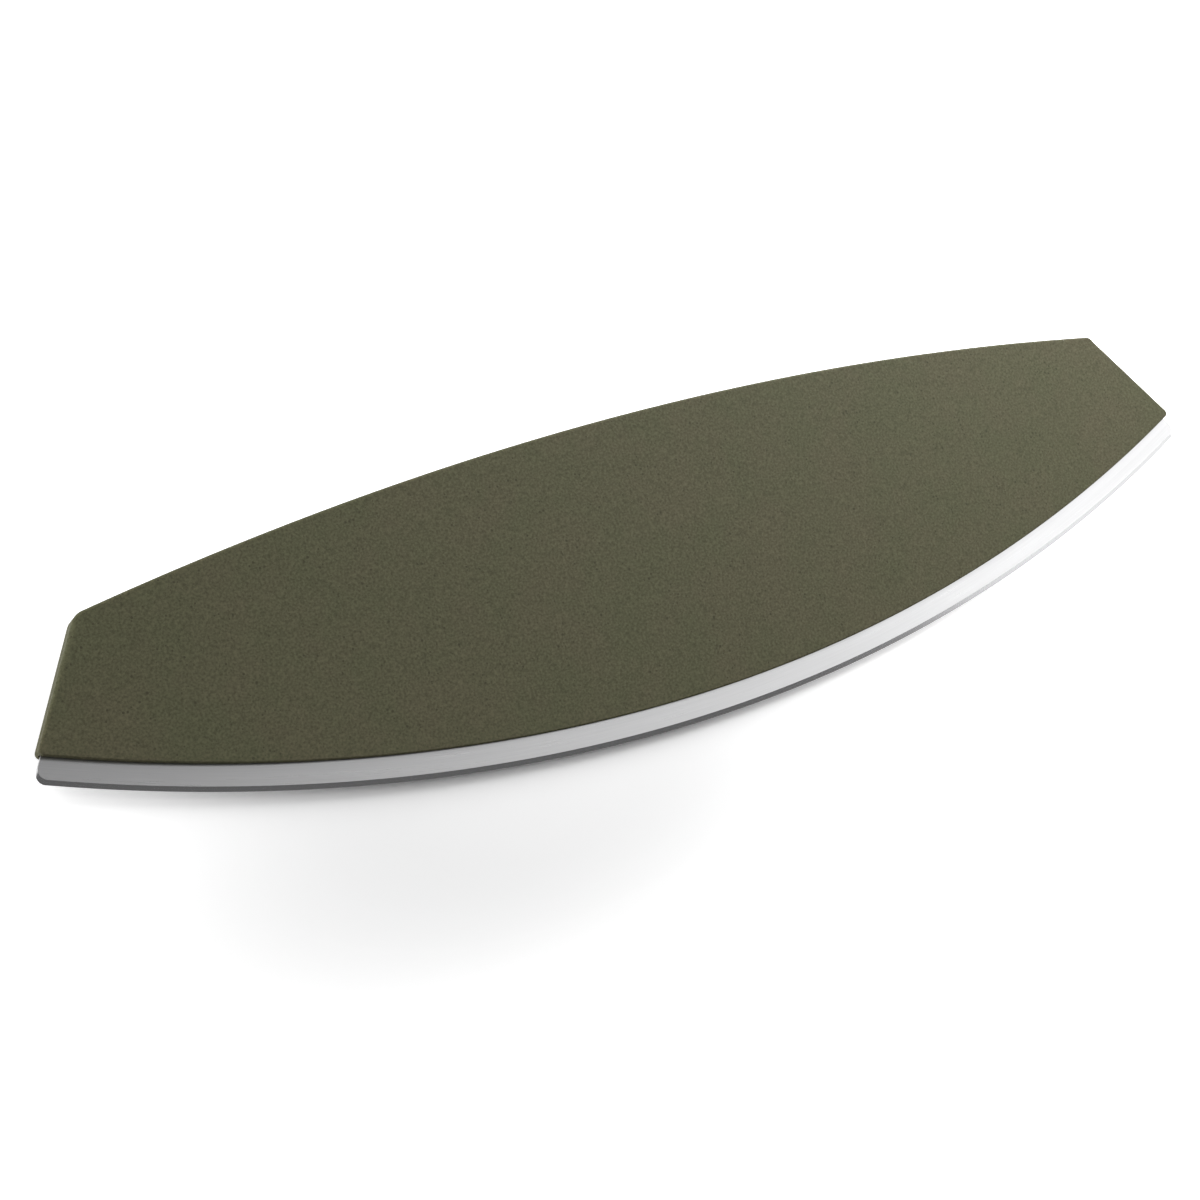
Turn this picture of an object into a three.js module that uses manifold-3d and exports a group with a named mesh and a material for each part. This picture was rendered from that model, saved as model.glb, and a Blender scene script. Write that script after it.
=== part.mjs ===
// Two-handed rocker knife for pizza and herbs: a steel blade with a full-length tang,
// held by hidden dowel pins between two flat handle halves of wood fibre and plastic.
// Millimetres, +Z up. The knife lies on its rear face with the cutting edge towards -Y.
import * as THREE from 'three';
import { mergeVertices } from 'three/addons/utils/BufferGeometryUtils.js';
import Module from 'manifold-3d';

// Handle outline, seen square to the blade. Each end leans in by the setback on its way up to the spine.
const handleLength = 370;
const endSetback = 19;
const handleHeight = 80;
const lowerEdgeRadius = 487;
const spineRadius = 1029;
const spineCornerRadius = 4.5;
const lipCornerRadius = 2;

// Handle thickness: both faces are flat and spread from the lip to the spine
const lipThickness = 3.4;
const spineThickness = 9.4;

// Rounding of the handle's outer border
const spineRounding = 0.8;
const endRounding = 1.8;
const lowCornerRounding = 0.6;
const lipRounding = 0.4;
const spineBlendRise = 0.95;
const lipBlendRise = 0.8;

// Blade
const bladeThickness = 1.5;
const bladeReveal = 7.1;
const bevelHeight = 1.3;
const edgeLand = 0.08;
const bladeEndInset = 1.1;
const bladeCornerRadius = 2.5;

// Tang, which steps in from the blade's ends at a shoulder inside the handle
const shoulderHeight = 5;
const shoulderRadius = 2;
const tangEndInset = 10;
const tangFootRadius = 1.5;
const tangRim = 10;
const tangCornerRadius = 6;

// Dowel pins
const pinCount = 7;
const pinEndInset = 28;
const pinDiameter = 4;
const pinLength = 4.2;
const pinChamfer = 0.4;
const pinDepthBelowSpine = 19;

// Clearances
const seamGap = 0.3;
const bondGap = 0.3;
const pinGap = 0.3;

// Facets
const arcSteps = 56;
const endSteps = 8;
const cornerSteps = 6;
const shoulderSteps = 2;
const roundingSteps = 5;
const pinSides = 32;

const steel = new THREE.MeshStandardMaterial({ color: 0xb4b6b8, roughness: 0.32, metalness: 1 });
const olive = new THREE.MeshStandardMaterial({ color: 0x5b5a46, roughness: 0.6, metalness: 0 });
const pinSteel = new THREE.MeshStandardMaterial({ color: 0x9a9c9e, roughness: 0.4, metalness: 1 });

const wasm = await Module();
wasm.setup();

// The knife's own axes: x along it, y through it with the front at -y, z from the edge to the spine,
// with z = 0 where the lower edge of the handle crosses the middle.
const faceSlope = (spineThickness - lipThickness) / 2 / handleHeight;
const faceAngle = Math.atan(faceSlope);

// Half of the handle's thickness at height z.
function halfThickness(z) {
  return lipThickness / 2 + faceSlope * z;
}

// Rise of a circular arc above its lowest point.
function arcRise(x, radius) {
  return radius - Math.sqrt(radius * radius - x * x);
}

function lowerEdge(x) {
  return arcRise(x, lowerEdgeRadius);
}

function spine(x) {
  return handleHeight - arcRise(x, spineRadius);
}

// Points on an arc between two x values, as Vector2(x, z).
function arcPoints(from, to, steps, height) {
  const points = [];
  for (let i = 0; i <= steps; i += 1) {
    const x = from + ((to - from) * i) / steps;
    points.push(new THREE.Vector2(x, height(x)));
  }
  return points;
}

function pointOn(height, x) {
  return new THREE.Vector2(x, height(x));
}

// Slanted end line of the handle, moved inwards by an inset measured square to it:
// gives x at height z on the right-hand end.
const lowCorner = pointOn(lowerEdge, handleLength / 2);
const highCorner = pointOn(spine, handleLength / 2 - endSetback);

function endLine(inset) {
  const along = highCorner.clone().sub(lowCorner).normalize();
  const shift = inset / along.y;
  return (z) => lowCorner.x + ((z - lowCorner.y) * along.x) / along.y - shift;
}

// Where the end line meets an arc: each round puts the arc's height into the line.
function meet(line, height) {
  const rounds = 40;
  let x = line(lowCorner.y);
  for (let i = 0; i < rounds; i += 1) {
    x = line(height(x));
  }
  return pointOn(height, x);
}

// Replaces the corner between two straight neighbours by a tangent arc.
function roundCorner(before, corner, after, radius, steps) {
  const inward = before.clone().sub(corner).normalize();
  const outward = after.clone().sub(corner).normalize();
  const half = Math.acos(inward.dot(outward)) / 2;
  const bisector = inward.clone().add(outward).normalize();
  const centre = corner.clone().addScaledVector(bisector, radius / Math.sin(half));
  const start = corner.clone().addScaledVector(inward, radius / Math.tan(half));
  const finish = corner.clone().addScaledVector(outward, radius / Math.tan(half));
  const first = Math.atan2(start.y - centre.y, start.x - centre.x);
  const last = Math.atan2(finish.y - centre.y, finish.x - centre.x);
  const turn = Math.atan2(Math.sin(last - first), Math.cos(last - first));
  const points = [];
  for (let i = 0; i <= steps; i += 1) {
    const angle = first + (turn * i) / steps;
    points.push(new THREE.Vector2(centre.x + radius * Math.cos(angle), centre.y + radius * Math.sin(angle)));
  }
  return points;
}

// Closed outline between two arcs, anticlockwise from the left end of the lower one. Its ends go up
// through corners, each on an arc at an inset from the handle's end, with a radius and the steps after it.
function bowedOutline(low, high, corners) {
  const points = corners.map(({ height, inset }) => meet(endLine(inset), height));
  const legLength = 1;
  const beforeFirst = pointOn(low, points[0].x - legLength);
  const afterLast = pointOn(high, points[points.length - 1].x - legLength);
  const path = [beforeFirst, ...points, afterLast];
  const turns = corners.map(({ radius }, i) => (
    roundCorner(path[i], path[i + 1], path[i + 2], radius, cornerSteps)
  ));
  const right = turns.flatMap((turn, i) => {
    const next = turns[i + 1];
    const between = [];
    for (let s = 1; next && s < corners[i].steps; s += 1) {
      between.push(turn[cornerSteps].clone().lerp(next[0], s / corners[i].steps));
    }
    return [...turn, ...between];
  });
  const left = right.map((p) => new THREE.Vector2(-p.x, p.y)).reverse();
  const lowEnd = right[0].x;
  const highEnd = right[right.length - 1].x;
  const bottom = arcPoints(-lowEnd, lowEnd, arcSteps, low).slice(1, -1);
  const top = arcPoints(highEnd, -highEnd, arcSteps, high).slice(1, -1);
  return [...bottom, ...right, ...top, ...left];
}

// Outward direction at every point of an anticlockwise outline.
function outwardNormals(outline) {
  return outline.map((point, i) => {
    const previous = outline[(i + outline.length - 1) % outline.length];
    const next = outline[(i + 1) % outline.length];
    const along = next.clone().sub(previous).normalize();
    return new THREE.Vector2(along.y, -along.x);
  });
}

// Closed solid from a stack of rings with equal point counts, ordered from front (-y) to rear (+y).
function stackRings(rings) {
  const count = rings[0].length;
  const positions = rings.flat().flatMap((p) => [p.x, p.y, p.z]);
  const indices = [];
  for (let r = 0; r + 1 < rings.length; r += 1) {
    for (let i = 0; i < count; i += 1) {
      const j = (i + 1) % count;
      const a = r * count + i;
      const b = r * count + j;
      const c = a + count;
      const d = b + count;
      indices.push(a, c, b, b, c, d);
    }
  }
  const flat = (ring) => ring.map((p) => new THREE.Vector2(p.x, p.z));
  const rear = (rings.length - 1) * count;
  for (const [a, b, c] of THREE.ShapeUtils.triangulateShape(flat(rings[0]), [])) {
    indices.push(a, b, c);
  }
  for (const [a, b, c] of THREE.ShapeUtils.triangulateShape(flat(rings[rings.length - 1]), [])) {
    indices.push(rear + a, rear + c, rear + b);
  }
  const geometry = new THREE.BufferGeometry();
  geometry.setAttribute('position', new THREE.Float32BufferAttribute(positions, 3));
  geometry.setIndex(indices);
  return geometry;
}

function ringAt(outline, depth) {
  return outline.map((p) => new THREE.Vector3(p.x, depth(p.y), p.y));
}

// Joins and cuts
function toSolid(geometry) {
  const bare = geometry.clone();
  bare.deleteAttribute('normal');
  bare.deleteAttribute('uv');
  const weldDistance = 1e-5;
  const merged = mergeVertices(bare, weldDistance);
  const mesh = new wasm.Mesh({
    numProp: 3,
    vertProperties: new Float32Array(merged.attributes.position.array),
    triVerts: new Uint32Array(merged.index.array),
  });
  return new wasm.Manifold(mesh);
}

function toGeometry(solid) {
  const mesh = solid.getMesh();
  const geometry = new THREE.BufferGeometry();
  geometry.setAttribute('position', new THREE.BufferAttribute(mesh.vertProperties, 3));
  geometry.setIndex(new THREE.BufferAttribute(mesh.triVerts, 1));
  geometry.computeVertexNormals();
  return geometry;
}

// Pin places, evenly spread on an arc that follows the spine
const pinReach = highCorner.x - pinEndInset;
const pinPlaces = [];
for (let i = 0; i < pinCount; i += 1) {
  const x = THREE.MathUtils.lerp(-pinReach, pinReach, i / (pinCount - 1));
  pinPlaces.push(new THREE.Vector3(x, 0, spine(x) - pinDepthBelowSpine));
}

function cylinderAcross(place, radius, length) {
  const cylinder = new THREE.CylinderGeometry(radius, radius, length, pinSides);
  cylinder.translate(place.x, place.y, place.z);
  return cylinder;
}

// Blade: flat plate whose lower border narrows over the bevel to a fine edge
const edgeArc = (x) => lowerEdge(x) - bladeReveal;
const bevelArc = (x) => edgeArc(x) + bevelHeight;
const shoulderArc = (x) => lowerEdge(x) + shoulderHeight;
const tangArc = (x) => spine(x) - tangRim;

// Outline of the blade and its tang above a lower arc, grown all round by a gap.
function bladeOutline(low, gap) {
  const shoulder = (x) => shoulderArc(x) + gap;
  const tangTop = (x) => tangArc(x) + gap;
  return bowedOutline(low, tangTop, [
    { height: low, inset: bladeEndInset - gap, radius: bladeCornerRadius, steps: shoulderSteps },
    { height: shoulder, inset: bladeEndInset - gap, radius: shoulderRadius + gap, steps: shoulderSteps },
    { height: shoulder, inset: tangEndInset - gap, radius: tangFootRadius - gap, steps: endSteps },
    { height: tangTop, inset: tangEndInset - gap, radius: tangCornerRadius + gap },
  ]);
}

function makeBlade() {
  const face = bladeOutline(bevelArc, 0);
  const edge = bladeOutline(edgeArc, 0);
  const plate = stackRings([
    ringAt(face, () => -bladeThickness / 2),
    ringAt(edge, () => -edgeLand / 2),
    ringAt(edge, () => edgeLand / 2),
    ringAt(face, () => bladeThickness / 2),
  ]);
  let solid = toSolid(plate);
  for (const place of pinPlaces) {
    const hole = cylinderAcross(place, pinDiameter / 2 + pinGap, bladeThickness * 2);
    solid = solid.subtract(toSolid(hole));
  }
  return toGeometry(solid);
}

// Rounding of the outer border of a handle half at a point with an outward normal: on an end it fades
// from the spine corner down to the low corner, and it blends into the spine's and the lip's own values.
function borderRounding(point, normal) {
  const { clamp, lerp, smoothstep } = THREE.MathUtils;
  const share = clamp((point.y - lowCorner.y) / (highCorner.y - lowCorner.y), 0, 1);
  const onEnd = lerp(lowCornerRounding, endRounding, share);
  const endRise = (lowCorner.x - highCorner.x) / lowCorner.distanceTo(highCorner);
  const onSpine = smoothstep(normal.y, endRise, spineBlendRise);
  const onLip = smoothstep(-normal.y, 0, lipBlendRise);
  return lerp(lerp(onEnd, spineRounding, onSpine), lipRounding, onLip);
}

// Front half of the handle: the outer face, its rounded border, the tang pocket and the pin sockets
function makeScale() {
  const outline = bowedOutline(lowerEdge, spine, [
    { height: lowerEdge, inset: 0, radius: lipCornerRadius, steps: endSteps },
    { height: spine, inset: 0, radius: spineCornerRadius },
  ]);
  const normals = outwardNormals(outline);
  const rings = [];
  for (let s = roundingSteps; s >= 0; s -= 1) {
    const angle = ((Math.PI / 2) * s) / roundingSteps;
    rings.push(outline.map((point, i) => {
      const radius = borderRounding(point, normals[i]);
      const p = point.clone().addScaledVector(normals[i], -radius * (1 - Math.cos(angle)));
      return new THREE.Vector3(p.x, -halfThickness(p.y) + radius * (1 - Math.sin(angle)), p.y);
    }));
  }
  rings.push(ringAt(outline, () => -seamGap / 2));
  let solid = toSolid(stackRings(rings));

  const pocketDepth = bladeThickness / 2 + bondGap;
  const belowLip = (x) => edgeArc(x) - bladeReveal;
  const pocket = bladeOutline(belowLip, bondGap);
  const pocketSolid = stackRings([ringAt(pocket, () => -pocketDepth), ringAt(pocket, () => pocketDepth)]);
  solid = solid.subtract(toSolid(pocketSolid));
  for (const place of pinPlaces) {
    const socket = cylinderAcross(place, pinDiameter / 2 + pinGap, pinLength + 2 * pinGap);
    solid = solid.subtract(toSolid(socket));
  }
  return toGeometry(solid);
}

// Rear half: the front half mirrored through the blade's middle plane
function mirrorThrough(geometry) {
  const mirrored = geometry.clone();
  mirrored.scale(1, -1, 1);
  const index = mirrored.index.array;
  for (let i = 0; i < index.length; i += 3) {
    [index[i], index[i + 1]] = [index[i + 1], index[i]];
  }
  mirrored.computeVertexNormals();
  return mirrored;
}

// Dowel pin with chamfered ends, its axis through the blade
function makePin() {
  const radius = pinDiameter / 2;
  const half = pinLength / 2;
  const profile = [
    new THREE.Vector2(0, -half),
    new THREE.Vector2(radius - pinChamfer, -half),
    new THREE.Vector2(radius, -half + pinChamfer),
    new THREE.Vector2(radius, half - pinChamfer),
    new THREE.Vector2(radius - pinChamfer, half),
    new THREE.Vector2(0, half),
  ];
  return toGeometry(toSolid(new THREE.LatheGeometry(profile, pinSides)));
}

const knife = new THREE.Group();

function addPiece(name, geometry, material) {
  const mesh = new THREE.Mesh(geometry, material);
  mesh.name = name;
  knife.add(mesh);
  return mesh;
}

const frontScale = makeScale();
addPiece('blade', makeBlade(), steel);
addPiece('front_scale', frontScale, olive);
addPiece('rear_scale', mirrorThrough(frontScale), olive);
const pin = makePin();
pinPlaces.forEach((place, i) => {
  addPiece(`dowel_pin_${i + 1}`, pin, pinSteel).position.copy(place);
});

// Laid down on the rear face: the face is turned level, put at z = 0 and centred under the knife
const spineReach = handleHeight * Math.cos(faceAngle)
  + (spineThickness / 2 - spineRounding) * Math.sin(faceAngle);
const edgeReach = -bladeReveal * Math.cos(faceAngle);
knife.rotation.x = faceAngle - Math.PI / 2;
knife.position.y = -(spineReach + edgeReach) / 2;
knife.position.z = (lipThickness / 2) * Math.cos(faceAngle);

const part = new THREE.Group();
part.add(knife);

export default part;
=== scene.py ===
import bmesh
import bpy
import numpy as np
from mathutils import Matrix, Vector
from mathutils.geometry import delaunay_2d_cdt


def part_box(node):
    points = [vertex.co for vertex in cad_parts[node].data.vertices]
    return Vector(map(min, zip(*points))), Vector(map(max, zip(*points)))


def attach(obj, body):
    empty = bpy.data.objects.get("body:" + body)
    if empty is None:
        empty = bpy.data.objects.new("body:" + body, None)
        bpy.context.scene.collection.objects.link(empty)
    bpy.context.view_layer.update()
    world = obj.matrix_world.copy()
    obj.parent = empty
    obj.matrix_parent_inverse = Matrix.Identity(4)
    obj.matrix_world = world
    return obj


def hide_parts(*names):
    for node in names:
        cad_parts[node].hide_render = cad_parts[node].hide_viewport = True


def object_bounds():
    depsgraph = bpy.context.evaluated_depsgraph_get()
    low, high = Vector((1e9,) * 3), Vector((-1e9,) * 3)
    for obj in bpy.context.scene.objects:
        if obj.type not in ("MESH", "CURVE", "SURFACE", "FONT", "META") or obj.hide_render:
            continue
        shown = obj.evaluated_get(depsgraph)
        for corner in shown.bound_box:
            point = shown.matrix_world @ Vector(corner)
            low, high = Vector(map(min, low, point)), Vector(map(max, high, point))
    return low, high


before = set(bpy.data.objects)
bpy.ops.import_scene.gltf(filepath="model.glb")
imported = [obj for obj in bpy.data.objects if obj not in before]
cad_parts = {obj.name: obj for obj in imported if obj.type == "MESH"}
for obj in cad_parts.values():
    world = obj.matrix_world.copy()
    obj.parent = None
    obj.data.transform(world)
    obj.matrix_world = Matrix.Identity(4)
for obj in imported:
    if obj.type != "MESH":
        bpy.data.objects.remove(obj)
cad_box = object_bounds()

# Blade
# One plate of stainless steel, brushed along its length and ground from both sides to a fine edge.
# Above the cutting strip it runs on as the tang, which is bonded and pinned between the handle halves.
MM = 0.001
BOW_RADIUS = 487 * MM
SPINE_RADIUS = 1029 * MM
HANDLE_HEIGHT = 80 * MM
LOW_CORNER = 185 * MM
HIGH_CORNER = 166 * MM
LIP_THICKNESS = 3.4 * MM
SPINE_THICKNESS = 9.4 * MM
BLADE_THICKNESS = 1.5 * MM
BLADE_REVEAL = 7.1 * MM
BEVEL_HEIGHT = 1.3 * MM
EDGE_LAND = 0.08 * MM
BLADE_END_INSET = 1.1 * MM
BLADE_CORNER_RADIUS = 2.5 * MM
SHOULDER_HEIGHT = 5 * MM
SHOULDER_RADIUS = 2 * MM
TANG_END_INSET = 10 * MM
TANG_FOOT_RADIUS = 1.5 * MM
TANG_RIM = 10 * MM
TANG_CORNER_RADIUS = 6 * MM
PLATE_BREAK = 0.06 * MM
PIN_HOLE_RADIUS = 2.3 * MM
PIN_HOLE_STEPS = 40
PIN_COUNT = 7
WELD_DISTANCE = 1e-7
SLIVER_WIDTH = 1e-8
SHARP_ANGLE = np.radians(15)
NOISE_LOW = 0.3
NOISE_HIGH = 0.7
BROAD_LINES_SCALE = (0.35, 0.16, 1.0)
BROAD_LINES_SHARE = 0.35

face_slope = (SPINE_THICKNESS - LIP_THICKNESS) / 2 / HANDLE_HEIGHT
face_angle = np.arctan(face_slope)
knife_turn = np.array([
    [1, 0, 0],
    [0, np.cos(face_angle), -np.sin(face_angle)],
    [0, np.sin(face_angle), np.cos(face_angle)],
])
knife_shift = np.array([
    0,
    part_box("blade")[0].y + BLADE_REVEAL * np.cos(face_angle),
    LIP_THICKNESS / 2 * np.cos(face_angle),
])


def laid(along, across, out):
    """Places knife coordinates in the scene: along the knife, across it from lip to spine, and out of the
    blade's middle plane, turned by the face angle about the length so that the rear face lies level."""
    points = np.stack(np.broadcast_arrays(along, across, out), -1).reshape(-1, 3)
    return points @ knife_turn.T + knife_shift


def unlaid(points):
    """Turns scene points back into knife coordinates."""
    return (points - knife_shift) @ knife_turn


def bow(x, radius):
    """Rise of a circular arc above its lowest point: the radius less the height of a circle at x."""
    return radius - np.sqrt(radius**2 - x**2)


def lip_curve(x):
    """Lower edge of the handle: an arc that rises from the middle towards both ends."""
    return bow(x, BOW_RADIUS)


def spine_curve(x):
    """Spine of the handle: an arc that falls from the full height in the middle towards both ends."""
    return HANDLE_HEIGHT - bow(x, SPINE_RADIUS)


def end_x(across, inset):
    """Place of the slanted right-hand end at a height, moved inwards square to itself by the inset."""
    low = np.array([LOW_CORNER, lip_curve(LOW_CORNER)])
    run = np.array([HIGH_CORNER, spine_curve(HIGH_CORNER)]) - low
    return low[0] + (across - low[1]) * run[0] / run[1] - inset * np.hypot(*run) / run[1]


def meeting(curve, inset):
    """Point where the slanted end meets a curve, by putting one into the other until they agree."""
    x = LOW_CORNER
    rounds = 40
    for _ in range(rounds):
        x = end_x(curve(x), inset)
    return np.array([x, curve(x)])


def corner_arc(before, corner, after, radius, steps):
    """Arc of a radius that touches both legs of a corner: its centre lies on the bisector, at the radius
    over the sine of half the corner's angle."""
    first_leg = (before - corner) / np.linalg.norm(before - corner)
    last_leg = (after - corner) / np.linalg.norm(after - corner)
    half = np.arccos(first_leg @ last_leg) / 2
    bisector = (first_leg + last_leg) / np.linalg.norm(first_leg + last_leg)
    centre = corner + bisector * radius / np.sin(half)
    first = corner + first_leg * radius / np.tan(half) - centre
    last = corner + last_leg * radius / np.tan(half) - centre
    turn = np.arctan2(first[0] * last[1] - first[1] * last[0], first @ last)
    angle = np.arctan2(first[1], first[0]) + turn * np.linspace(0, 1, steps)
    return centre + radius * np.stack([np.cos(angle), np.sin(angle)], 1)


def curve_points(curve, start, stop, steps):
    """Points on a curve at even steps along the knife."""
    x = np.linspace(start, stop, steps)
    return np.stack([x, curve(x)], 1)


def right_side(low, high, corners, steps):
    """Right half of a bowed outline in runs: the lower curve from the middle, then each corner's arc with the
    straight leg after it, and the upper curve back to the middle. A corner is a curve, an inset and a
    radius."""
    points = [meeting(curve, inset) for curve, inset, _ in corners]
    nearby = 1 * MM
    before = np.array([points[0][0] - nearby, low(points[0][0] - nearby)])
    after = np.array([points[-1][0] - nearby, high(points[-1][0] - nearby)])
    path = [before, *points, after]
    turns = [corner_arc(*path[i:i + 3], radius, steps["corner"]) for i, (_, _, radius) in enumerate(corners)]
    share = np.linspace(0, 1, steps["leg"] + 2)[1:-1, None]
    runs = [curve_points(low, 0, turns[0][0, 0], steps["curve"])[:-1]]
    for turn, following in zip(turns, turns[1:]):
        runs += [turn, turn[-1] + share * (following[0] - turn[-1])]
    return runs + [turns[-1], curve_points(high, turns[-1][-1, 0], 0, steps["curve"])[1:]]


def mirrored(right):
    """Whole outline from its right half, anticlockwise, with the two middle points used once."""
    return np.concatenate([right, right[-2:0:-1] * [-1, 1]])


def outward(outline):
    """Unit normals of an anticlockwise outline, square to the chord between each point's neighbours."""
    chord = np.roll(outline, -1, 0) - np.roll(outline, 1, 0)
    return np.stack([chord[:, 1], -chord[:, 0]], 1) / np.linalg.norm(chord, axis=1, keepdims=True)


def ring_quads(rings, count):
    """Quads between neighbouring rings of a stack in which every ring has the same count of points."""
    base = np.arange(rings - 1)[:, None] * count
    here = np.arange(count)
    there = np.roll(here, -1)
    return np.stack([base + here, base + there, base + count + there, base + count + here], -1).reshape(-1, 4)


def pierced(outline, holes):
    """Delaunay triangles that fill an outline round its holes, numbered as the outline and then each hole in
    turn. A triangle whose middle lies within a hole's radius is left out."""
    loops = [outline, *holes]
    sizes = [len(loop) for loop in loops]
    starts = np.cumsum([0, *sizes[:-1]])
    sides = [
        np.stack([start + np.arange(size), start + np.roll(np.arange(size), -1)], 1)
        for start, size in zip(starts, sizes)
    ]
    points = np.concatenate(loops)
    only_inside = 1
    tolerance = 1e-6
    _, _, faces, origins, _, _ = delaunay_2d_cdt(
        [Vector(point) for point in points / MM], np.concatenate(sides).tolist(), [], only_inside, tolerance,
    )
    triangles = np.array([ids[0] for ids in origins])[np.array(faces)]
    middle = points[triangles].mean(1)
    inside = np.zeros(len(triangles), bool)
    for hole in holes:
        inside |= np.hypot(*(middle - hole.mean(0)).T) < np.hypot(*(hole[0] - hole.mean(0)))
    return triangles[~inside]


def closed_piece(name, points, faces, materials, material_of_face):
    """Object from points and faces: doubles merged, normals outwards, smooth but for its sharp edges."""
    mesh = bpy.data.meshes.new(name)
    mesh.from_pydata(points.tolist(), [], faces)
    for material in materials:
        mesh.materials.append(material)
    mesh.polygons.foreach_set("material_index", np.asarray(material_of_face, np.int32))
    work = bmesh.new()
    work.from_mesh(mesh)
    bmesh.ops.remove_doubles(work, verts=work.verts, dist=WELD_DISTANCE)
    bmesh.ops.dissolve_degenerate(work, edges=work.edges, dist=SLIVER_WIDTH)
    bmesh.ops.recalc_face_normals(work, faces=work.faces)
    work.to_mesh(mesh)
    work.free()
    mesh.shade_smooth()
    mesh.set_sharp_from_angle(angle=SHARP_ANGLE)
    piece = bpy.data.objects.new(name, mesh)
    bpy.context.scene.collection.objects.link(piece)
    return piece


def add_node(tree, kind, inputs=None, **settings):
    """One shader node with its settings, its inputs set to values or linked to other nodes' outputs."""
    node = tree.nodes.new(kind)
    for name, value in settings.items():
        setattr(node, name, value)
    for name, value in (inputs or {}).items():
        if isinstance(value, bpy.types.NodeSocket):
            tree.links.new(value, node.inputs[name])
        else:
            node.inputs[name].default_value = value
    return node


def new_material(name):
    """Material with an empty tree and its output node."""
    material = bpy.data.materials.new(name)
    material.use_nodes = True
    material.node_tree.nodes.clear()
    return material, material.node_tree, add_node(material.node_tree, "ShaderNodeOutputMaterial")


def grinding_lines_group():
    """Node group: noise drawn out along one direction, as a belt or wheel leaves it on steel.
    Fine lines are mixed with broader ones that fade in and out along the cut."""
    group = bpy.data.node_groups.new("grinding lines", "ShaderNodeTree")
    group.interface.new_socket("Vector", in_out="INPUT", socket_type="NodeSocketVector")
    group.interface.new_socket("Lines", in_out="OUTPUT", socket_type="NodeSocketFloat")
    start = add_node(group, "NodeGroupInput")
    fine = add_node(group, "ShaderNodeTexNoise", {
        "Vector": start.outputs["Vector"], "Scale": 1.0, "Detail": 3.0, "Roughness": 0.6,
    })
    broad_place = add_node(group, "ShaderNodeVectorMath", {
        0: start.outputs["Vector"], 1: BROAD_LINES_SCALE,
    }, operation="MULTIPLY")
    broad = add_node(group, "ShaderNodeTexNoise", {
        "Vector": broad_place.outputs[0], "Scale": 1.0, "Detail": 1.0, "Roughness": 0.5,
    })
    both = add_node(group, "ShaderNodeMix", {
        0: BROAD_LINES_SHARE, 2: fine.outputs["Fac"], 3: broad.outputs["Fac"],
    }, data_type="FLOAT")
    end = add_node(group, "NodeGroupOutput")
    group.links.new(both.outputs[0], end.inputs["Lines"])
    return group


grinding_lines = grinding_lines_group()


def ground_steel(name, place_output, lines_per_metre, dark, light, smooth, rough, depth):
    """Bare steel with grinding lines: they shift the colour and roughness a little and are cut to a depth.
    lines_per_metre gives the density of the noise along X, Y and Z of the place that it reads."""
    material, tree, output = new_material(name)
    place = add_node(tree, "ShaderNodeTexCoord")
    stretched = add_node(tree, "ShaderNodeVectorMath", {
        0: place.outputs[place_output], 1: lines_per_metre,
    }, operation="MULTIPLY")
    lines = add_node(tree, "ShaderNodeGroup", node_tree=grinding_lines)
    tree.links.new(stretched.outputs[0], lines.inputs["Vector"])
    spread = add_node(tree, "ShaderNodeMapRange", {
        "Value": lines.outputs["Lines"], "From Min": NOISE_LOW, "From Max": NOISE_HIGH,
    })
    colour = add_node(tree, "ShaderNodeMix", {
        0: spread.outputs["Result"], 6: (*dark, 1), 7: (*light, 1),
    }, data_type="RGBA")
    roughness = add_node(tree, "ShaderNodeMapRange", {
        "Value": spread.outputs["Result"], "To Min": rough, "To Max": smooth,
    })
    relief = add_node(tree, "ShaderNodeBump", {
        "Height": lines.outputs["Lines"], "Strength": 0.4, "Distance": depth,
    })
    surface = add_node(tree, "ShaderNodeBsdfPrincipled", {
        "Base Color": colour.outputs[2], "Metallic": 1.0, "Roughness": roughness.outputs["Result"],
        "Normal": relief.outputs["Normal"],
    })
    tree.links.new(surface.outputs[0], output.inputs["Surface"])
    return material


def edge_curve(x):
    """Cutting edge: the lip's curve moved down by the height of the strip that shows."""
    return lip_curve(x) - BLADE_REVEAL


def grind_curve(x):
    """Upper border of the bevel: the cutting edge moved up by the bevel's height."""
    return edge_curve(x) + BEVEL_HEIGHT


def blade_side(low, gap, steps):
    """Right half of the blade and its tang above a lower curve, grown all round by a gap: the blade's end,
    the shoulder where it steps in to the tang, and the tang's end and top."""

    def shoulder_curve(x):
        """Top of the blade's ends: the lip's curve moved up into the handle."""
        return lip_curve(x) + SHOULDER_HEIGHT + gap

    def tang_curve(x):
        """Top of the tang: the spine moved down by the rim that the halves keep above it."""
        return spine_curve(x) - TANG_RIM + gap

    return right_side(low, tang_curve, [
        (low, BLADE_END_INSET - gap, BLADE_CORNER_RADIUS),
        (shoulder_curve, BLADE_END_INSET - gap, SHOULDER_RADIUS + gap),
        (shoulder_curve, TANG_END_INSET - gap, TANG_FOOT_RADIUS - gap),
        (tang_curve, TANG_END_INSET - gap, TANG_CORNER_RADIUS + gap),
    ], steps)


def pin_places():
    """Middle of every dowel pin in knife coordinates, along and across, from the CAD pins."""
    corners = [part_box(f"dowel_pin_{i + 1}") for i in range(PIN_COUNT)]
    middles = np.array([(np.array(low) + np.array(high)) / 2 for low, high in corners])
    return unlaid(middles)[:, :2]


def circles(centres, radius, steps):
    """One ring of points round each centre."""
    angle = np.linspace(0, 2 * np.pi, steps, endpoint=False)
    ring = radius * np.stack([np.cos(angle), np.sin(angle)], 1)
    return list(np.asarray(centres)[:, None, :] + ring)


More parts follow.
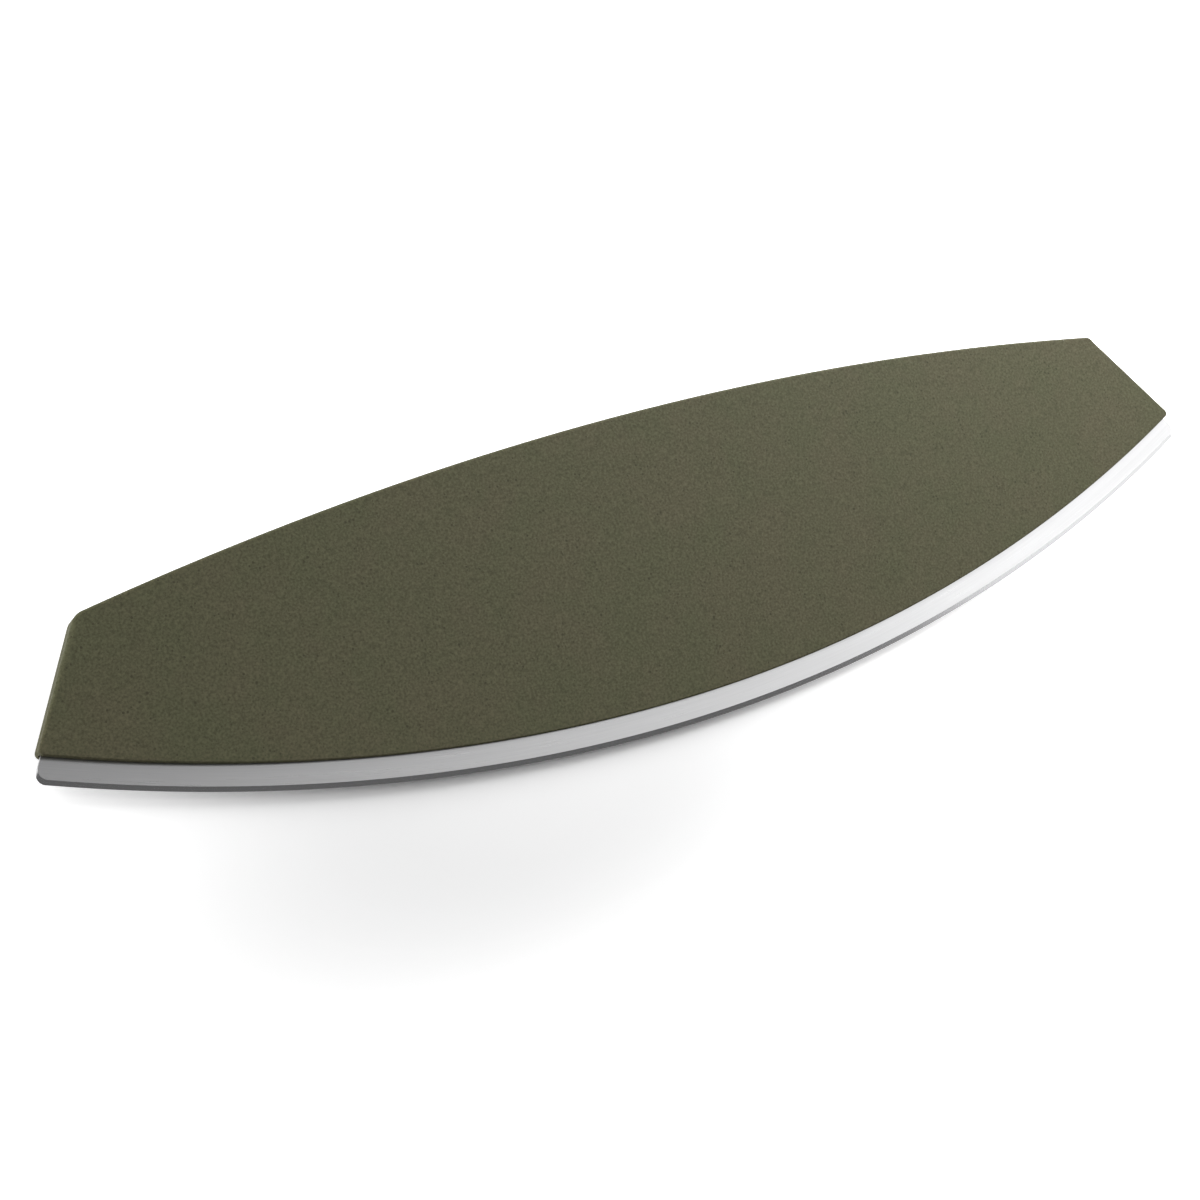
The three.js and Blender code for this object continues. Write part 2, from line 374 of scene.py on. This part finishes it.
def tunnels(first_a, first_b, holes):
    """Quads of the walls between two like sets of hole rings that start at two point numbers."""
    size = len(holes[0])
    here = np.arange(len(holes))[:, None] * size + np.arange(size)
    there = np.arange(len(holes))[:, None] * size + np.roll(np.arange(size), -1)
    return np.stack([first_a + here, first_a + there, first_b + there, first_b + here], -1).reshape(-1, 4)


def make_blade():
    """Stack of six rings round the plate, from front to rear: broken face border, face border, both sides
    of the edge land, and the same behind. Along the cutting edge the rings spread apart to form the bevel."""
    steps = {"curve": 140, "corner": 14, "leg": 10}
    face_runs = blade_side(grind_curve, 0, steps)
    edge_runs = blade_side(edge_curve, 0, steps)
    face = mirrored(np.concatenate(face_runs))
    edge = mirrored(np.concatenate(edge_runs))
    broken = face - outward(face) * PLATE_BREAK
    half = BLADE_THICKNESS / 2
    stack = [
        (broken, half), (face, half - PLATE_BREAK), (edge, EDGE_LAND / 2),
        (edge, -EDGE_LAND / 2), (face, PLATE_BREAK - half), (broken, -half),
    ]
    holes = circles(pin_places(), PIN_HOLE_RADIUS, PIN_HOLE_STEPS)
    border = [laid(ring[:, 0], ring[:, 1], out) for ring, out in stack]
    pierced_rings = [laid(hole[:, 0], hole[:, 1], out) for out in (half, -half) for hole in holes]
    points = np.concatenate(border + pierced_rings)

    count = len(face)
    front_holes = count * len(stack)
    rear_holes = front_holes + sum(len(hole) for hole in holes)
    fill = pierced(broken, holes)
    front = np.where(fill < count, fill, fill - count + front_holes)
    rear = np.where(fill < count, fill + count * (len(stack) - 1), fill - count + rear_holes)
    quads = ring_quads(len(stack), count)
    walls = tunnels(front_holes, rear_holes, holes)
    faces = quads.tolist() + walls.tolist() + front.tolist() + rear.tolist()

    right_bevel = len(face_runs[0]) + len(face_runs[1])
    place = np.arange(len(quads)) % count
    row = np.arange(len(quads)) // count
    between_borders = (row > 0) & (row < len(stack) - 2)
    on_bevel = ((place < right_bevel) | (place > count - right_bevel)) & between_borders
    material_of_face = np.zeros(len(faces), int)
    material_of_face[:len(quads)] = on_bevel
    return points, faces, material_of_face


def map_along_bow(piece):
    """UV map in metres that follows the bow: U is the length along the edge, V the height above it."""
    mesh = piece.data
    points = np.empty(len(mesh.vertices) * 3)
    mesh.vertices.foreach_get("co", points)
    along, across, _ = unlaid(points.reshape(-1, 3)).T
    below = BOW_RADIUS - BLADE_REVEAL - across
    u = np.arctan2(along, below) * BOW_RADIUS
    v = BOW_RADIUS - np.hypot(along, below)
    corner_point = np.empty(len(mesh.loops), np.int32)
    mesh.loops.foreach_get("vertex_index", corner_point)
    layer = mesh.uv_layers.new(name="along the bow")
    layer.data.foreach_set("uv", np.stack([u, v], 1)[corner_point].ravel())


brushed_steel = ground_steel(
    "brushed blade steel", "UV", (40, 6500, 1),
    dark=(0.57, 0.57, 0.575), light=(0.65, 0.65, 0.655), smooth=0.26, rough=0.34, depth=0.006 * MM,
)
bevel_steel = ground_steel(
    "ground bevel steel", "UV", (4000, 150, 1),
    dark=(0.525, 0.525, 0.53), light=(0.56, 0.56, 0.565), smooth=0.21, rough=0.24, depth=0.001 * MM,
)
blade_points, blade_faces, blade_materials = make_blade()
blade = closed_piece("blade_plate", blade_points, blade_faces, [brushed_steel, bevel_steel], blade_materials)
map_along_bow(blade)
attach(blade, "root")
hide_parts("blade")

# Dowel pins
# Short ground stainless dowels with chamfered ends, a push fit through the tang.
# They end blind in both handle halves and carry the push of the hands into the blade.
dowel_steel = ground_steel(
    "ground dowel steel", "Object", (900, 900, 9000),
    dark=(0.48, 0.48, 0.49), light=(0.58, 0.58, 0.59), smooth=0.25, rough=0.4, depth=0.004 * MM,
)
for number in range(1, PIN_COUNT + 1):
    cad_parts[f"dowel_pin_{number}"].material_slots[0].material = dowel_steel

# Handle halves
# Two like mouldings of olive wood fibre and plastic, with a fine dark speckle and a matt, grained skin.
# Their flat faces spread from the lip to the spine. Each has a pocket for the tang and a blind socket for
# every pin, and they are bonded to the tang and to each other.
SPINE_CORNER_RADIUS = 4.5 * MM
LIP_CORNER_RADIUS = 1.4 * MM
SPINE_ROUNDING = 0.8 * MM
END_ROUNDING = 1.8 * MM
LOW_CORNER_ROUNDING = 0.6 * MM
LIP_ROUNDING = 0.4 * MM
SPINE_BLEND_RISE = 0.95
LIP_BLEND_RISE = 0.8
SEAM_BREAK = 0.12 * MM
SEAM_HALF_GAP = 0.03 * MM
BOND_GAP = 0.3 * MM
SOCKET_DEPTH = 2.4 * MM
FACE_MARGIN = 0.3 * MM
BORDER_RINGS = 13
SEAM_RINGS = 5
GREENER_OLIVE = (0.0795, 0.0798, 0.0455, 1)
BROWNER_OLIVE = (0.0856, 0.0801, 0.0481, 1)
SPECK_COLOUR = (0.052, 0.050, 0.030, 1)
DRIFTS_PER_METRE = 55.0
GRAINS_PER_METRE = 1500.0
PATCHES_PER_METRE = 140.0
SPECKS_PER_METRE = 850.0
SPECK_SIZE = 0.38
SPECK_SHARPNESS = 8.0
GRAIN_DEPTH = 0.04 * MM


def smooth_step(value, start, stop):
    """Cubic that rises from 0 at start to 1 at stop with level ends."""
    share = np.clip((value - start) / (stop - start), 0, 1)
    return share**2 * (3 - 2 * share)


def rounding(outline, normals):
    """Radius of the outer border's rounding: on an end it fades from the spine corner down to the low corner,
    and it blends into the smaller values of the spine and the lip as the border turns."""
    low = np.array([LOW_CORNER, lip_curve(LOW_CORNER)])
    high = np.array([HIGH_CORNER, spine_curve(HIGH_CORNER)])
    share = np.clip((outline[:, 1] - low[1]) / (high[1] - low[1]), 0, 1)
    radius = LOW_CORNER_ROUNDING + (END_ROUNDING - LOW_CORNER_ROUNDING) * share
    end_rise = (low[0] - high[0]) / np.hypot(*(high - low))
    radius += (SPINE_ROUNDING - radius) * smooth_step(normals[:, 1], end_rise, SPINE_BLEND_RISE)
    return radius + (LIP_ROUNDING - radius) * smooth_step(-normals[:, 1], 0, LIP_BLEND_RISE)


def handle_outline():
    """Outline of a half, with two points where the tang pocket's end crosses the border: one ends the open
    lip and one starts the closed border. Gives the outline and the number of the first of the two."""
    steps = {"curve": 150, "corner": 16, "leg": 40}
    right = np.concatenate(right_side(lip_curve, spine_curve, [
        (lip_curve, 0, LIP_CORNER_RADIUS), (spine_curve, 0, SPINE_CORNER_RADIUS),
    ], steps))
    room = end_x(right[:, 1], BLADE_END_INSET - BOND_GAP) - right[:, 0]
    last = np.flatnonzero(room <= 0)[0] - 1
    share = room[last] / (room[last] - room[last + 1])
    mouth = right[last] + share * (right[last + 1] - right[last])
    return mirrored(np.concatenate([right[:last + 1], [mouth, mouth], right[last + 1:]])), last + 1


def make_half(side):
    """Rings from the flat face out over the rounded border and down the edge to the seam, or to the blade
    along the open lip. The seam face, the pocket's wall and its floor with the pin sockets close the inside.
    Side is 1 for the front half and -1 for its mirror image behind."""
    outline, mouth = handle_outline()
    count = len(outline)
    place = np.arange(count)
    on_open_lip = (place <= mouth) | (place >= count - mouth)
    normals = outward(outline)
    for first, second in ((mouth, mouth + 1), (count - mouth, count - mouth - 1)):
        normals[second] = normals[first]
    radius = rounding(outline, normals)
    pocket_depth = BLADE_THICKNESS / 2 + BOND_GAP
    foot = np.where(on_open_lip, pocket_depth, SEAM_HALF_GAP)

    def over_border(turn, extra=0.0):
        """Ring on the border's rounding: a quarter circle that turns from the face down to the side."""
        inset = radius * (1 - np.cos(turn)) + extra
        ring = outline - normals * inset[:, None]
        out = LIP_THICKNESS / 2 + face_slope * ring[:, 1] - radius * (1 - np.sin(turn))
        return ring, out

    def into_seam(turn):
        """Ring on the small rounding that leads from the side into the seam or the open lip."""
        inset = SEAM_BREAK * (1 - np.cos(turn))
        return outline - normals * inset, foot + SEAM_BREAK * (1 - np.sin(turn))

    quarter = np.pi / 2
    stack = [over_border(quarter, FACE_MARGIN)]
    stack += [over_border(turn) for turn in np.linspace(quarter, 0, BORDER_RINGS)]
    stack += [into_seam(turn) for turn in np.linspace(0, quarter, SEAM_RINGS)]
    seam = stack[-1][0]
    pocket_steps = {"curve": 150, "corner": 14, "leg": 10}
    pocket_right = np.concatenate(blade_side(lip_curve, BOND_GAP, pocket_steps)[3:])
    pocket = np.concatenate([pocket_right, pocket_right[-2::-1] * [-1, 1]])
    holes = circles(pin_places(), PIN_HOLE_RADIUS, PIN_HOLE_STEPS)
    levels = [*stack, (pocket, SEAM_HALF_GAP), (pocket, pocket_depth)]
    levels += [(hole, out) for out in (pocket_depth, SOCKET_DEPTH) for hole in holes]
    points = np.concatenate([laid(ring[:, 0], ring[:, 1], side * out) for ring, out in levels])

    seam_start = count * (len(stack) - 1)
    pocket_low = count * len(stack) + np.arange(len(pocket))
    pocket_high = pocket_low + len(pocket)
    mouths = pocket_high[-1] + 1
    bottoms = mouths + sum(len(hole) for hole in holes)
    closed = np.arange(mouth + 1, count - mouth)
    open_lip = np.concatenate([np.arange(count - mouth, count), np.arange(mouth + 1)])
    seam_ids = np.concatenate([seam_start + closed, pocket_low[::-1]])
    seam_fill = seam_ids[pierced(np.concatenate([seam[closed], pocket[::-1]]), [])]
    floor_ids = np.concatenate([seam_start + open_lip, pocket_high, np.arange(mouths, bottoms)])
    floor_fill = floor_ids[pierced(np.concatenate([seam[open_lip], pocket]), holes)]
    wall_low = np.concatenate([[seam_start + closed[0]], pocket_low, [seam_start + closed[-1]]])
    wall_high = np.concatenate([[seam_start + open_lip[-1]], pocket_high, [seam_start + open_lip[0]]])
    wall = np.stack([wall_low[:-1], wall_low[1:], wall_high[1:], wall_high[:-1]], 1)
    face = pierced(stack[0][0], [])
    bottom_caps = (bottoms + np.arange(len(holes) * PIN_HOLE_STEPS)).reshape(len(holes), -1).tolist()
    return points, (ring_quads(len(stack), count).tolist() + wall.tolist() + seam_fill.tolist()
                    + floor_fill.tolist() + tunnels(mouths, bottoms, holes).tolist() + face.tolist()
                    + bottom_caps)


def olive_composite():
    """Moulded wood fibre and plastic: slow drifts between a greener and a browner olive, a fine grain,
    and scattered dark specks of fibre, all read from object coordinates."""
    material, tree, output = new_material("olive wood fibre composite")
    place = add_node(tree, "ShaderNodeTexCoord").outputs["Object"]
    drift = add_node(tree, "ShaderNodeTexNoise", {
        "Vector": place, "Scale": DRIFTS_PER_METRE, "Detail": 3.0, "Roughness": 0.65,
    })
    drift_share = add_node(tree, "ShaderNodeMapRange", {
        "Value": drift.outputs["Fac"], "From Min": 0.35, "From Max": 0.65,
    })
    ground = add_node(tree, "ShaderNodeMix", {
        0: drift_share.outputs["Result"], 6: GREENER_OLIVE, 7: BROWNER_OLIVE,
    }, data_type="RGBA")
    grain = add_node(tree, "ShaderNodeTexNoise", {
        "Vector": place, "Scale": GRAINS_PER_METRE, "Detail": 3.0, "Roughness": 0.6,
    })
    grain_tone = add_node(tree, "ShaderNodeMapRange", {
        "Value": grain.outputs["Fac"], "From Min": NOISE_LOW, "From Max": NOISE_HIGH,
        "To Min": 0.72, "To Max": 1.28,
    })
    grained = add_node(tree, "ShaderNodeVectorMath", {
        0: ground.outputs[2], "Scale": grain_tone.outputs["Result"],
    }, operation="SCALE")
    patches = add_node(tree, "ShaderNodeTexNoise", {
        "Vector": place, "Scale": PATCHES_PER_METRE, "Detail": 2.0,
    })
    crowding = add_node(tree, "ShaderNodeMapRange", {
        "Value": patches.outputs["Fac"], "From Min": 0.4, "From Max": 0.6, "To Min": 0.4, "To Max": 1.0,
    })
    cells = add_node(tree, "ShaderNodeTexVoronoi", {
        "Vector": place, "Scale": SPECKS_PER_METRE, "Randomness": 1.0,
    })
    chance = add_node(tree, "ShaderNodeSeparateColor", {"Color": cells.outputs["Color"]})
    size = add_node(tree, "ShaderNodeMapRange", {
        "Value": chance.outputs["Red"], "From Min": 0.2, "From Max": 1.0, "To Min": 0.0, "To Max": SPECK_SIZE,
    })
    reach = add_node(tree, "ShaderNodeMath", {
        0: size.outputs["Result"], 1: crowding.outputs["Result"],
    }, operation="MULTIPLY")
    depth = add_node(tree, "ShaderNodeMath", {
        0: reach.outputs[0], 1: cells.outputs["Distance"],
    }, operation="SUBTRACT")
    speck = add_node(tree, "ShaderNodeMath", {
        0: depth.outputs[0], 1: SPECK_SHARPNESS,
    }, operation="MULTIPLY", use_clamp=True)
    specked = add_node(tree, "ShaderNodeMix", {
        0: speck.outputs[0], 6: grained.outputs[0], 7: SPECK_COLOUR,
    }, data_type="RGBA")
    roughness = add_node(tree, "ShaderNodeMapRange", {
        "Value": grain.outputs["Fac"], "From Min": NOISE_LOW, "From Max": NOISE_HIGH,
        "To Min": 0.72, "To Max": 0.60,
    })
    relief = add_node(tree, "ShaderNodeBump", {
        "Height": grain.outputs["Fac"], "Strength": 0.35, "Distance": GRAIN_DEPTH,
    })
    surface = add_node(tree, "ShaderNodeBsdfPrincipled", {
        "Base Color": specked.outputs[2], "Roughness": roughness.outputs["Result"],
        "Specular IOR Level": 0.1, "Normal": relief.outputs["Normal"],
    })
    tree.links.new(surface.outputs[0], output.inputs["Surface"])
    return material


olive = olive_composite()
for node, side in (("front_scale", 1), ("rear_scale", -1)):
    half_points, half_faces = make_half(side)
    half = closed_piece(f"{node}_moulding", half_points, half_faces, [olive], np.zeros(len(half_faces)))
    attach(half, "root")
    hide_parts(node)

# Floor
# A plain white sheet under the knife, just clear of the face that it lies on.
# It carries the knife's shadow only in an oval by the left half of the edge, where the glow is held back and
# leaves a wide painted shade. Further out a glow painted on top hides the shadow, and the sheet runs on,
# white, as far as the eye can see.
FLOOR_SIZE = 60.0
FLOOR_DROP = 0.1 * MM
FLOOR_CELLS = 8
FLOOR_WHITE = (0.88, 0.88, 0.88, 1)
# Painted shade: in this oval the floor's glow is held back, so the floor reads light grey there, like a wide
# soft shadow under the edge.
PAINTED_SHADE_CENTRE = (-65 * MM, -45 * MM, 0)
PAINTED_SHADE_STRETCH = 2.2
PAINTED_SHADE_REACH = 15 * MM
WHITE_REACH = 110 * MM
FULL_GLOW = 0.9


def make_floor():
    """Flat square of a few cells, lying just below the lowest face of the knife."""
    count = FLOOR_CELLS + 1
    line = np.linspace(-FLOOR_SIZE / 2, FLOOR_SIZE / 2, count)
    x, y = np.meshgrid(line, line)
    points = np.stack([x, y, np.full_like(x, cad_box[0][2] - FLOOR_DROP)], -1).reshape(-1, 3)
    cell = np.arange(FLOOR_CELLS)[:, None] * count + np.arange(FLOOR_CELLS)
    faces = np.stack([cell, cell + 1, cell + count + 1, cell + count], -1).reshape(-1, 4)
    mesh = bpy.data.meshes.new("floor")
    mesh.from_pydata(points.tolist(), [], faces.tolist())
    return bpy.data.objects.new("floor", mesh)


def seen_directly(tree):
    """Mask that is 1 on rays of the camera, mirrors and clear pieces, and 0 on light that falls on things."""
    rays = add_node(tree, "ShaderNodeLightPath")
    seen = add_node(tree, "ShaderNodeMath", {
        0: rays.outputs["Is Camera Ray"], 1: rays.outputs["Is Glossy Ray"],
    }, operation="ADD")
    seen = add_node(tree, "ShaderNodeMath", {
        0: seen.outputs[0], 1: rays.outputs["Is Transmission Ray"],
    }, operation="ADD", use_clamp=True)
    return seen.outputs[0]


def white_floor():
    """White sheet with a painted shade. Camera and mirror rays see an added glow, so it reads white. There is
    none in an oval by the left half of the edge, which leaves a painted shade there that is wider than the
    cast shadow. The glow rises with the distance to a full white that paints out the shadow further away."""
    material, tree, output = new_material("white floor")
    place = add_node(tree, "ShaderNodeTexCoord")
    oval = add_node(tree, "ShaderNodeMapping", {
        "Vector": place.outputs["Object"], "Location": PAINTED_SHADE_CENTRE, "Scale": (PAINTED_SHADE_STRETCH, 1, 1),
    }, vector_type="TEXTURE")
    distance = add_node(tree, "ShaderNodeVectorMath", {0: oval.outputs["Vector"]}, operation="LENGTH")
    # Glow rises from none in the oval of painted shade to full white, which also paints out the knife's
    # shadow beyond it.
    added = add_node(tree, "ShaderNodeMapRange", {
        "Value": distance.outputs["Value"], "From Min": PAINTED_SHADE_REACH, "From Max": WHITE_REACH,
        "To Max": FULL_GLOW,
    }, interpolation_type="SMOOTHSTEP")
    glow = add_node(tree, "ShaderNodeMath", {
        0: seen_directly(tree), 1: added.outputs["Result"],
    }, operation="MULTIPLY")
    surface = add_node(tree, "ShaderNodeBsdfPrincipled", {
        "Base Color": FLOOR_WHITE, "Roughness": 0.6, "Emission Color": (1, 1, 1, 1),
        "Emission Strength": glow.outputs[0],
    })
    tree.links.new(surface.outputs[0], output.inputs["Surface"])
    return material


floor = make_floor()
floor.data.materials.append(white_floor())
bpy.context.scene.collection.objects.link(floor)

# Studio light
# Four soft boxes: a key and a wide screen beyond the right end, a low strip beyond the left end and a screen
# overhead. A weak even light comes from all round, and a white wall curves up out of the far floor.
WALL_TOP = 0.2
WALL_BEND = 0.02
EVEN_LIGHT = 0.185


def soft_box(name, azimuth, elevation, distance, width, height, radiance, in_reflections=True):
    """Rectangular lamp that faces the knife. Azimuth runs from +X towards +Y; the lamp's power is its
    radiance times pi times its area. One that isn't in reflections lights the matt skin but not the steel."""
    lamp = bpy.data.lights.new(name, "AREA")
    lamp.shape = "RECTANGLE"
    lamp.size = width
    lamp.size_y = height
    lamp.energy = radiance * np.pi * width * height
    box = bpy.data.objects.new(name, lamp)
    turn, rise = np.radians([azimuth, elevation])
    place = distance * Vector((np.cos(turn) * np.cos(rise), np.sin(turn) * np.cos(rise), np.sin(rise)))
    box.location = place
    box.rotation_euler = (-place).to_track_quat("-Z", "Y").to_euler()
    box.visible_camera = False
    box.visible_glossy = in_reflections
    bpy.context.scene.collection.objects.link(box)


def studio_world():
    """Even dim light from all round. What is seen directly also has the wall: white from the floor up to the
    bend and dim above the top, both given as the sine of the height above the horizon."""
    world = bpy.data.worlds.new("studio")
    world.use_nodes = True
    tree = world.node_tree
    tree.nodes.clear()
    direction = add_node(tree, "ShaderNodeTexCoord").outputs["Generated"]
    height = add_node(tree, "ShaderNodeSeparateXYZ", {"Vector": direction}).outputs["Z"]
    wall = add_node(tree, "ShaderNodeMapRange", {
        "Value": height, "From Min": WALL_BEND, "From Max": WALL_TOP, "To Min": 1.0, "To Max": EVEN_LIGHT,
    }, interpolation_type="SMOOTHSTEP")
    strength = add_node(tree, "ShaderNodeMix", {
        0: seen_directly(tree), 2: EVEN_LIGHT, 3: wall.outputs["Result"],
    }, data_type="FLOAT")
    background = add_node(tree, "ShaderNodeBackground", {
        "Color": (1, 1, 1, 1), "Strength": strength.outputs[0],
    })
    output = add_node(tree, "ShaderNodeOutputWorld")
    tree.links.new(background.outputs[0], output.inputs["Surface"])
    return world


soft_box("right_screen", azimuth=0, elevation=25, distance=0.75, width=1.05, height=0.7, radiance=1.3)
soft_box("key_soft_box", azimuth=40, elevation=27, distance=0.5, width=0.28, height=0.28, radiance=12.5)
soft_box("left_strip_light", azimuth=150, elevation=16, distance=1.0, width=1.3, height=0.32, radiance=8,
         in_reflections=False)
soft_box("top_screen", azimuth=52, elevation=69, distance=1.0, width=1.4, height=0.36, radiance=0.85)
bpy.context.scene.world = studio_world()
bpy.context.scene.view_settings.view_transform = "Standard"

# Camera
# It looks down on the front face from beyond the left end and rolls with the knife, as in the photograph.
VIEW_AZIMUTH = np.radians(72.517)
VIEW_ELEVATION = np.radians(60.179)
VIEW_ROLL = np.radians(53.049)
VIEW_DISTANCE = 592.94 * MM
VIEW_TARGET = Vector((-28.43 * MM, -3.77 * MM, 4 * MM))
LENS = 66.0
SENSOR = 36.0

level = np.cos(VIEW_ELEVATION)
forward = Vector((np.sin(VIEW_AZIMUTH) * level, np.cos(VIEW_AZIMUTH) * level, -np.sin(VIEW_ELEVATION)))
level_right = forward.cross(Vector((0, 0, 1))).normalized()
level_up = level_right.cross(forward)
right = np.cos(VIEW_ROLL) * level_right + np.sin(VIEW_ROLL) * level_up
up = np.cos(VIEW_ROLL) * level_up - np.sin(VIEW_ROLL) * level_right
lens = bpy.data.cameras.new("camera")
lens.lens = LENS
lens.sensor_fit = "HORIZONTAL"
lens.sensor_width = SENSOR
camera = bpy.data.objects.new("camera", lens)
axes = Matrix((right, up, -forward)).transposed()
camera.matrix_world = Matrix.Translation(VIEW_TARGET - VIEW_DISTANCE * forward) @ axes.to_4x4()
bpy.context.scene.collection.objects.link(camera)
bpy.context.scene.camera = camera
